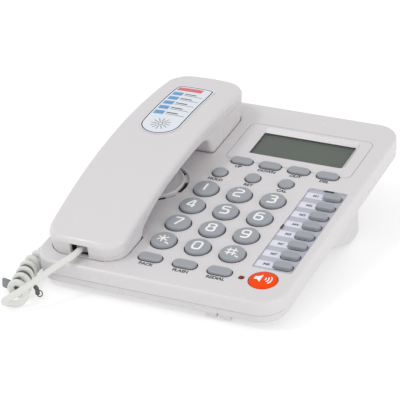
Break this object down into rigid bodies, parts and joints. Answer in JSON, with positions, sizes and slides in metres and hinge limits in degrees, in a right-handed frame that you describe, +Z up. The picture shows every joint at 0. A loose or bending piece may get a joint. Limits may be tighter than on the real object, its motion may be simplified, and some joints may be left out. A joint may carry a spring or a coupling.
{
  "type": "corded desk telephone",
  "caption": "Corded desk telephone with a sloping base, arched handset in two wells, keypad, display window, memory keys, loudspeaker key and a coiled handset cord.",
  "frame": {"origin": "on the desk under the middle of the telephone without its cord", "axes": "+Z up, +X to the right seen from the front, +Y towards the raised back edge"},
  "size_m": [0.1644, 0.2665, 0.0688],
  "materials": {
    "housing": "fine satin texture",
    "key_grey": "satin",
    "speaker_key": "satin gloss",
    "window": "clear plastic",
    "lcd": "grey-green panel",
    "board": "solder mask",
    "key_mat": "matte",
    "speaker_metal": "matte",
    "capsule": "satin",
    "lamp": "clear red",
    "card": "printed card",
    "clear_cover": "clear plastic",
    "jack": "satin",
    "plug": "translucent",
    "foot_rubber": "matte",
    "screw_steel": "bare",
    "cord": "satin",
    "tie": "satin",
    "label": "printed film"
  },
  "bodies": {
    "base": {"base_top_case": "housing", "base_bottom_case": "housing", "display_window": "window", "lcd_panel": "lcd", "main_board": "board", "key_membrane": "key_mat", "loudspeaker": "speaker_metal", "handsfree_microphone": "capsule", "speaker_lamp": "lamp", "memory_index_card": "card", "memory_index_cover": "clear_cover", "line_jack": "jack", "base_handset_jack": "jack", "rear_stand": "housing", "rubber_feet": "foot_rubber", "case_screws": "screw_steel", "base_plug": "plug", "base_lead": "cord", "curly_cord": "cord", "handset_lead": "cord", "twist_tie": "tie"},
    "handset": {"handset_outer_shell": "housing", "handset_inner_shell": "housing", "receiver_capsule": "speaker_metal", "handset_microphone": "capsule", "handset_jack": "jack", "handset_label": "label", "handset_plug": "plug"},
    "hook_switch": {"hook_switch": "housing"},
    "dial_key_1": {"dial_key_1": "key_grey"},
    "dial_key_2": {"dial_key_2": "key_grey"},
    "dial_key_3": {"dial_key_3": "key_grey"},
    "dial_key_4": {"dial_key_4": "key_grey"},
    "dial_key_5": {"dial_key_5": "key_grey"},
    "dial_key_6": {"dial_key_6": "key_grey"},
    "dial_key_7": {"dial_key_7": "key_grey"},
    "dial_key_8": {"dial_key_8": "key_grey"},
    "dial_key_9": {"dial_key_9": "key_grey"},
    "dial_key_star": {"dial_key_star": "key_grey"},
    "dial_key_0": {"dial_key_0": "key_grey"},
    "dial_key_hash": {"dial_key_hash": "key_grey"},
    "function_key_1": {"function_key_1": "key_grey"},
    "function_key_2": {"function_key_2": "key_grey"},
    "function_key_3": {"function_key_3": "key_grey"},
    "bottom_key_1": {"bottom_key_1": "key_grey"},
    "bottom_key_2": {"bottom_key_2": "key_grey"},
    "bottom_key_3": {"bottom_key_3": "key_grey"},
    "display_key_1": {"display_key_1": "key_grey"},
    "display_key_2": {"display_key_2": "key_grey"},
    "display_key_3": {"display_key_3": "key_grey"},
    "display_key_4": {"display_key_4": "key_grey"},
    "memory_key_1": {"memory_key_1": "key_grey"},
    "memory_key_2": {"memory_key_2": "key_grey"},
    "memory_key_3": {"memory_key_3": "key_grey"},
    "memory_key_4": {"memory_key_4": "key_grey"},
    "memory_key_5": {"memory_key_5": "key_grey"},
    "memory_key_6": {"memory_key_6": "key_grey"},
    "memory_key_7": {"memory_key_7": "key_grey"},
    "memory_key_8": {"memory_key_8": "key_grey"},
    "speaker_key": {"speaker_key": "speaker_key"}
  },
  "joints": [
    {"name": "handset_lift", "type": "slide", "parent": "base", "child": "handset", "axis": [0, -0.1599, 0.9871], "range_m": [0, 0.06], "deforming": ["handset_lead"]},
    {"name": "hook_rise", "type": "slide", "parent": "base", "child": "hook_switch", "axis": [0, -0.1599, 0.9871], "range_m": [0, 0.004]},
    {"name": "press_dial_key_1", "type": "slide", "parent": "base", "child": "dial_key_1", "axis": [0, 0.1599, -0.9871], "range_m": [0, 0.0012], "stiffness_N_per_m": 200, "springref_m": -0.0004},
    {"name": "press_dial_key_2", "type": "slide", "parent": "base", "child": "dial_key_2", "axis": [0, 0.1599, -0.9871], "range_m": [0, 0.0012], "stiffness_N_per_m": 200, "springref_m": -0.0004},
    {"name": "press_dial_key_3", "type": "slide", "parent": "base", "child": "dial_key_3", "axis": [0, 0.1599, -0.9871], "range_m": [0, 0.0012], "stiffness_N_per_m": 200, "springref_m": -0.0004},
    {"name": "press_dial_key_4", "type": "slide", "parent": "base", "child": "dial_key_4", "axis": [0, 0.1599, -0.9871], "range_m": [0, 0.0012], "stiffness_N_per_m": 200, "springref_m": -0.0004},
    {"name": "press_dial_key_5", "type": "slide", "parent": "base", "child": "dial_key_5", "axis": [0, 0.1599, -0.9871], "range_m": [0, 0.0012], "stiffness_N_per_m": 200, "springref_m": -0.0004},
    {"name": "press_dial_key_6", "type": "slide", "parent": "base", "child": "dial_key_6", "axis": [0, 0.1599, -0.9871], "range_m": [0, 0.0012], "stiffness_N_per_m": 200, "springref_m": -0.0004},
    {"name": "press_dial_key_7", "type": "slide", "parent": "base", "child": "dial_key_7", "axis": [0, 0.1599, -0.9871], "range_m": [0, 0.0012], "stiffness_N_per_m": 200, "springref_m": -0.0004},
    {"name": "press_dial_key_8", "type": "slide", "parent": "base", "child": "dial_key_8", "axis": [0, 0.1599, -0.9871], "range_m": [0, 0.0012], "stiffness_N_per_m": 200, "springref_m": -0.0004},
    {"name": "press_dial_key_9", "type": "slide", "parent": "base", "child": "dial_key_9", "axis": [0, 0.1599, -0.9871], "range_m": [0, 0.0012], "stiffness_N_per_m": 200, "springref_m": -0.0004},
    {"name": "press_dial_key_star", "type": "slide", "parent": "base", "child": "dial_key_star", "axis": [0, 0.1599, -0.9871], "range_m": [0, 0.0012], "stiffness_N_per_m": 200, "springref_m": -0.0004},
    {"name": "press_dial_key_0", "type": "slide", "parent": "base", "child": "dial_key_0", "axis": [0, 0.1599, -0.9871], "range_m": [0, 0.0012], "stiffness_N_per_m": 200, "springref_m": -0.0004},
    {"name": "press_dial_key_hash", "type": "slide", "parent": "base", "child": "dial_key_hash", "axis": [0, 0.1599, -0.9871], "range_m": [0, 0.0012], "stiffness_N_per_m": 200, "springref_m": -0.0004},
    {"name": "press_function_key_1", "type": "slide", "parent": "base", "child": "function_key_1", "axis": [0, 0.1599, -0.9871], "range_m": [0, 0.0012], "stiffness_N_per_m": 200, "springref_m": -0.0004},
    {"name": "press_function_key_2", "type": "slide", "parent": "base", "child": "function_key_2", "axis": [0, 0.1599, -0.9871], "range_m": [0, 0.0012], "stiffness_N_per_m": 200, "springref_m": -0.0004},
    {"name": "press_function_key_3", "type": "slide", "parent": "base", "child": "function_key_3", "axis": [0, 0.1599, -0.9871], "range_m": [0, 0.0012], "stiffness_N_per_m": 200, "springref_m": -0.0004},
    {"name": "press_bottom_key_1", "type": "slide", "parent": "base", "child": "bottom_key_1", "axis": [0, 0.1599, -0.9871], "range_m": [0, 0.0012], "stiffness_N_per_m": 200, "springref_m": -0.0004},
    {"name": "press_bottom_key_2", "type": "slide", "parent": "base", "child": "bottom_key_2", "axis": [0, 0.1599, -0.9871], "range_m": [0, 0.0012], "stiffness_N_per_m": 200, "springref_m": -0.0004},
    {"name": "press_bottom_key_3", "type": "slide", "parent": "base", "child": "bottom_key_3", "axis": [0, 0.1599, -0.9871], "range_m": [0, 0.0012], "stiffness_N_per_m": 200, "springref_m": -0.0004},
    {"name": "press_display_key_1", "type": "slide", "parent": "base", "child": "display_key_1", "axis": [0, 0.1599, -0.9871], "range_m": [0, 0.0012], "stiffness_N_per_m": 200, "springref_m": -0.0004},
    {"name": "press_display_key_2", "type": "slide", "parent": "base", "child": "display_key_2", "axis": [0, 0.1599, -0.9871], "range_m": [0, 0.0012], "stiffness_N_per_m": 200, "springref_m": -0.0004},
    {"name": "press_display_key_3", "type": "slide", "parent": "base", "child": "display_key_3", "axis": [0, 0.1599, -0.9871], "range_m": [0, 0.0012], "stiffness_N_per_m": 200, "springref_m": -0.0004},
    {"name": "press_display_key_4", "type": "slide", "parent": "base", "child": "display_key_4", "axis": [0, 0.1599, -0.9871], "range_m": [0, 0.0012], "stiffness_N_per_m": 200, "springref_m": -0.0004},
    {"name": "press_memory_key_1", "type": "slide", "parent": "base", "child": "memory_key_1", "axis": [0, 0.1599, -0.9871], "range_m": [0, 0.0012], "stiffness_N_per_m": 200, "springref_m": -0.0004},
    {"name": "press_memory_key_2", "type": "slide", "parent": "base", "child": "memory_key_2", "axis": [0, 0.1599, -0.9871], "range_m": [0, 0.0012], "stiffness_N_per_m": 200, "springref_m": -0.0004},
    {"name": "press_memory_key_3", "type": "slide", "parent": "base", "child": "memory_key_3", "axis": [0, 0.1599, -0.9871], "range_m": [0, 0.0012], "stiffness_N_per_m": 200, "springref_m": -0.0004},
    {"name": "press_memory_key_4", "type": "slide", "parent": "base", "child": "memory_key_4", "axis": [0, 0.1599, -0.9871], "range_m": [0, 0.0012], "stiffness_N_per_m": 200, "springref_m": -0.0004},
    {"name": "press_memory_key_5", "type": "slide", "parent": "base", "child": "memory_key_5", "axis": [0, 0.1599, -0.9871], "range_m": [0, 0.0012], "stiffness_N_per_m": 200, "springref_m": -0.0004},
    {"name": "press_memory_key_6", "type": "slide", "parent": "base", "child": "memory_key_6", "axis": [0, 0.1599, -0.9871], "range_m": [0, 0.0012], "stiffness_N_per_m": 200, "springref_m": -0.0004},
    {"name": "press_memory_key_7", "type": "slide", "parent": "base", "child": "memory_key_7", "axis": [0, 0.1599, -0.9871], "range_m": [0, 0.0012], "stiffness_N_per_m": 200, "springref_m": -0.0004},
    {"name": "press_memory_key_8", "type": "slide", "parent": "base", "child": "memory_key_8", "axis": [0, 0.1599, -0.9871], "range_m": [0, 0.0012], "stiffness_N_per_m": 200, "springref_m": -0.0004},
    {"name": "press_speaker_key", "type": "slide", "parent": "base", "child": "speaker_key", "axis": [0, 0.1599, -0.9871], "range_m": [0, 0.0012], "stiffness_N_per_m": 200, "springref_m": -0.0004}
  ],
  "couplings": [
    {"joint": "hook_rise", "follows": "handset_lift", "ratio": 0.0666}
  ]
}
